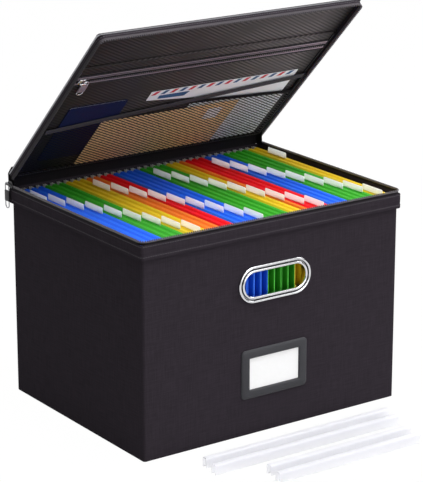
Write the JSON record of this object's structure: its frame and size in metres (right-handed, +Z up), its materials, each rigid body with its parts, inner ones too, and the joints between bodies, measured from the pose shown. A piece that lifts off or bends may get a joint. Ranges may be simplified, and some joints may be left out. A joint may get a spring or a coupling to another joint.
{
  "type": "portable file box",
  "caption": "Fabric-covered file box with a zip-round lid, metal hand holes, a label holder, lid pockets with papers and hanging folders inside.",
  "frame": {"origin": "centre of the box's underside, on the surface it stands on", "axes": "+X to the right along the front wall, +Y back to the lid hinge, +Z up"},
  "size_m": [0.4131, 0.4684, 0.5296],
  "materials": {
    "linen_cover": "charcoal linen-look cloth, matte",
    "lining": "dark woven lining, matte",
    "zip_tape": "grey woven zip tape, matte",
    "pocket_tape": "plum-grey woven tape, matte",
    "mesh": "black knitted net",
    "bright_metal": "bright nickel plate",
    "pull_sleeve": "soft moulded sleeve, satin",
    "holder_paint": "dark grey stoved enamel, satin",
    "card": "plain white card",
    "booklet_cover": "navy grained cover, bare",
    "white_paper": "white paper",
    "kraft_paper": "brown kraft paper",
    "clear_plastic": "clear extruded plastic",
    "blue_card": "bright blue card, matte",
    "green_card": "bright green card, matte",
    "yellow_card": "yellow card, matte",
    "orange_card": "orange card, matte",
    "red_card": "red card, matte",
    "folder_bar": "coated steel strip, satin",
    "tab_plastic": "pale frosted plastic"
  },
  "bodies": {
    "box": {"front_panel": "linen_cover", "rear_panel": "linen_cover", "left_panel": "linen_cover", "right_panel": "linen_cover", "base_panel": "lining", "rim_band": "linen_cover", "rim_zip_tape": "zip_tape", "rim_zip_teeth": "zip_tape", "hinge_gusset": "linen_cover", "front_grommet": "bright_metal", "rear_grommet": "bright_metal", "grommet_backings": "bright_metal", "label_holder": "holder_paint", "long_slides": "clear_plastic", "short_slides": "clear_plastic"},
    "lid": {"lid_board": "linen_cover", "lid_band": "linen_cover", "lid_zip_tape": "zip_tape", "lid_zip_teeth": "zip_tape", "lid_lining": "lining", "zip_pocket_strip": "pocket_tape", "zip_pocket_panel": "lining", "pocket_zip_tapes": "pocket_tape", "pocket_zip_teeth": "zip_tape", "open_pocket_mesh": "mesh", "open_pocket_binding": "zip_tape", "pocket_side_strips": "zip_tape", "booklet": "booklet_cover", "airmail_envelope": "white_paper", "kraft_envelope": "kraft_paper", "loose_papers": "white_paper"},
    "main_slider": {"main_slider": "bright_metal"},
    "main_pull": {"main_pull_loop": "bright_metal", "main_pull_sleeve": "pull_sleeve"},
    "pocket_slider": {"pocket_slider": "bright_metal"},
    "pocket_pull": {"pocket_pull_loop": "bright_metal", "pocket_pull_sleeve": "pull_sleeve"},
    "label_card": {"label_card": "card"},
    "left_folders": {"left_blue_folders": "blue_card", "left_green_folders": "green_card", "left_yellow_folders": "yellow_card", "left_orange_folders": "orange_card", "left_folder_bars": "folder_bar", "left_folder_tabs": "tab_plastic"},
    "middle_folders": {"middle_red_folders": "red_card", "middle_blue_folders": "blue_card", "middle_green_folders": "green_card", "middle_yellow_folders": "yellow_card", "middle_folder_bars": "folder_bar", "middle_folder_tabs": "tab_plastic"},
    "right_folders": {"right_orange_folders": "orange_card", "right_red_folders": "red_card", "right_blue_folders": "blue_card", "right_green_folders": "green_card", "right_yellow_folders": "yellow_card", "right_folder_bars": "folder_bar", "right_folder_tabs": "tab_plastic"}
  },
  "joints": [
    {"name": "lid_hinge", "type": "hinge", "parent": "box", "child": "lid", "pos_m": [0, 0.1595, 0.304], "axis": [-1, 0, 0], "range_deg": [-45, 205]},
    {"name": "main_slider_slide", "type": "slide", "parent": "box", "child": "main_slider", "axis": [0, -1, 0], "range_m": [0, 0.29]},
    {"name": "main_pull_swing", "type": "hinge", "parent": "main_slider", "child": "main_pull", "pos_m": [-0.2067, 0.158, 0.2897], "axis": [1, 0, 0], "range_deg": [-45, 90]},
    {"name": "pocket_slider_slide", "type": "slide", "parent": "lid", "child": "pocket_slider", "axis": [1, 0, 0], "range_m": [0, 0.358]},
    {"name": "pocket_pull_swivel", "type": "hinge", "parent": "pocket_slider", "child": "pocket_pull", "pos_m": [-0.1823, -0.00511, 0.45334], "axis": [0, 0.7071, 0.7071], "range_deg": [-60, 35]},
    {"name": "label_card_slide", "type": "slide", "parent": "box", "child": "label_card", "axis": [0, 0, 1], "range_m": [0, 0.06]},
    {"name": "left_folders_slide", "type": "slide", "parent": "box", "child": "left_folders", "axis": [1, 0, 0], "range_m": [-0.0009, 0.0028]},
    {"name": "middle_folders_slide", "type": "slide", "parent": "box", "child": "middle_folders", "axis": [1, 0, 0], "range_m": [-0.0028, 0.0028]},
    {"name": "right_folders_slide", "type": "slide", "parent": "box", "child": "right_folders", "axis": [1, 0, 0], "range_m": [-0.0028, 0.0009]}
  ]
}
